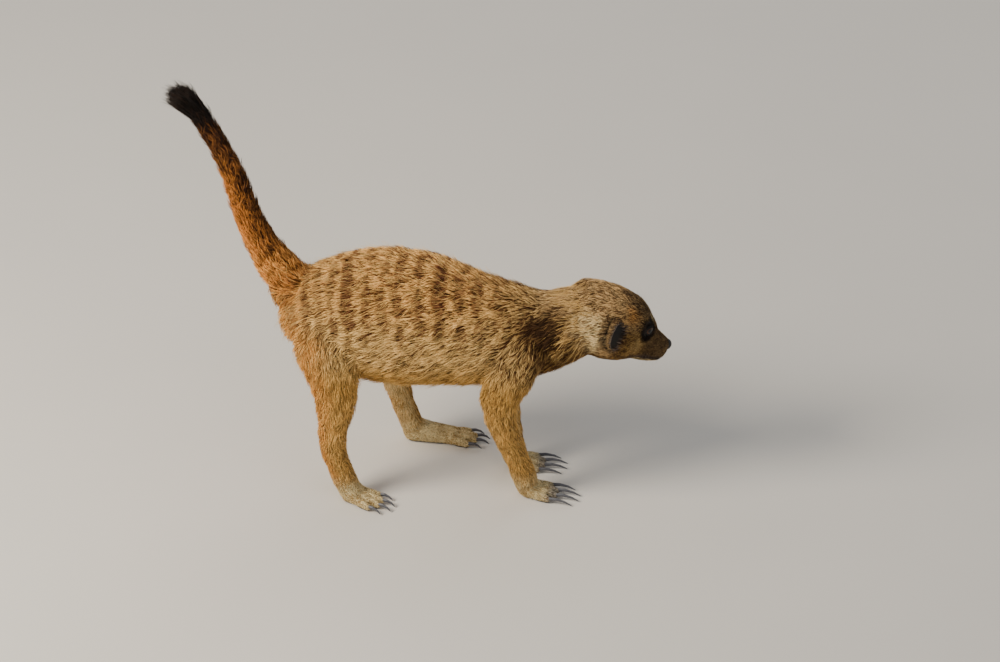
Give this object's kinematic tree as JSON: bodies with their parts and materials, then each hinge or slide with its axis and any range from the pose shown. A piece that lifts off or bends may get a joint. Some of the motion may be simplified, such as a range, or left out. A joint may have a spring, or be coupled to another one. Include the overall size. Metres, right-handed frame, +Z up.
{
  "type": "meerkat",
  "caption": "Still, life-size meerkat standing on four feet, its head low and turned a little, one hind foot ahead of the other and its black-tipped tail raised.",
  "frame": {"origin": "on the floor under the middle of the animal's bounding box", "axes": "+X ahead of the animal, +Y to its left, +Z up"},
  "size_m": [0.3624, 0.1162, 0.308],
  "materials": {
    "body_coat": "short grizzled sandy fur with broken dark rows on the back",
    "head_coat": "very short grizzled fur, dark round the eyes and along the muzzle",
    "leg_coat": "short golden-tan fur, cream to grey on the feet",
    "tail_coat": "rufous fur, darker along the upper side",
    "tail_tip_coat": "black tufted fur",
    "ear_skin": "thin dark skin with a pale rim",
    "nose_skin": "dark, finely pebbled and slightly moist",
    "eye": "glossy, dark brown",
    "claw_horn": "smooth dark horn"
  },
  "bodies": {
    "root": {"head": "head_coat", "jaw": "head_coat", "nose": "nose_skin", "eye_left": "eye", "eye_right": "eye", "ear_left": "ear_skin", "ear_right": "ear_skin", "neck": "body_coat", "torso": "body_coat", "tail_base": "tail_coat", "tail_middle": "tail_coat", "tail_tip": "tail_tip_coat", "foreleg_left_upper": "body_coat", "foreleg_left_lower": "leg_coat", "forefoot_left": "leg_coat", "forefoot_left_claw_1": "claw_horn", "forefoot_left_claw_2": "claw_horn", "forefoot_left_claw_3": "claw_horn", "forefoot_left_claw_4": "claw_horn", "foreleg_right_upper": "body_coat", "foreleg_right_lower": "leg_coat", "forefoot_right": "leg_coat", "forefoot_right_claw_1": "claw_horn", "forefoot_right_claw_2": "claw_horn", "forefoot_right_claw_3": "claw_horn", "forefoot_right_claw_4": "claw_horn", "hindleg_left_upper": "body_coat", "hindleg_left_lower": "leg_coat", "hindfoot_left": "leg_coat", "hindfoot_left_claw_1": "claw_horn", "hindfoot_left_claw_2": "claw_horn", "hindfoot_left_claw_3": "claw_horn", "hindfoot_left_claw_4": "claw_horn", "hindleg_right_upper": "body_coat", "hindleg_right_lower": "leg_coat", "hindfoot_right": "leg_coat", "hindfoot_right_claw_1": "claw_horn", "hindfoot_right_claw_2": "claw_horn", "hindfoot_right_claw_3": "claw_horn", "hindfoot_right_claw_4": "claw_horn"}
  },
  "joints": []
}
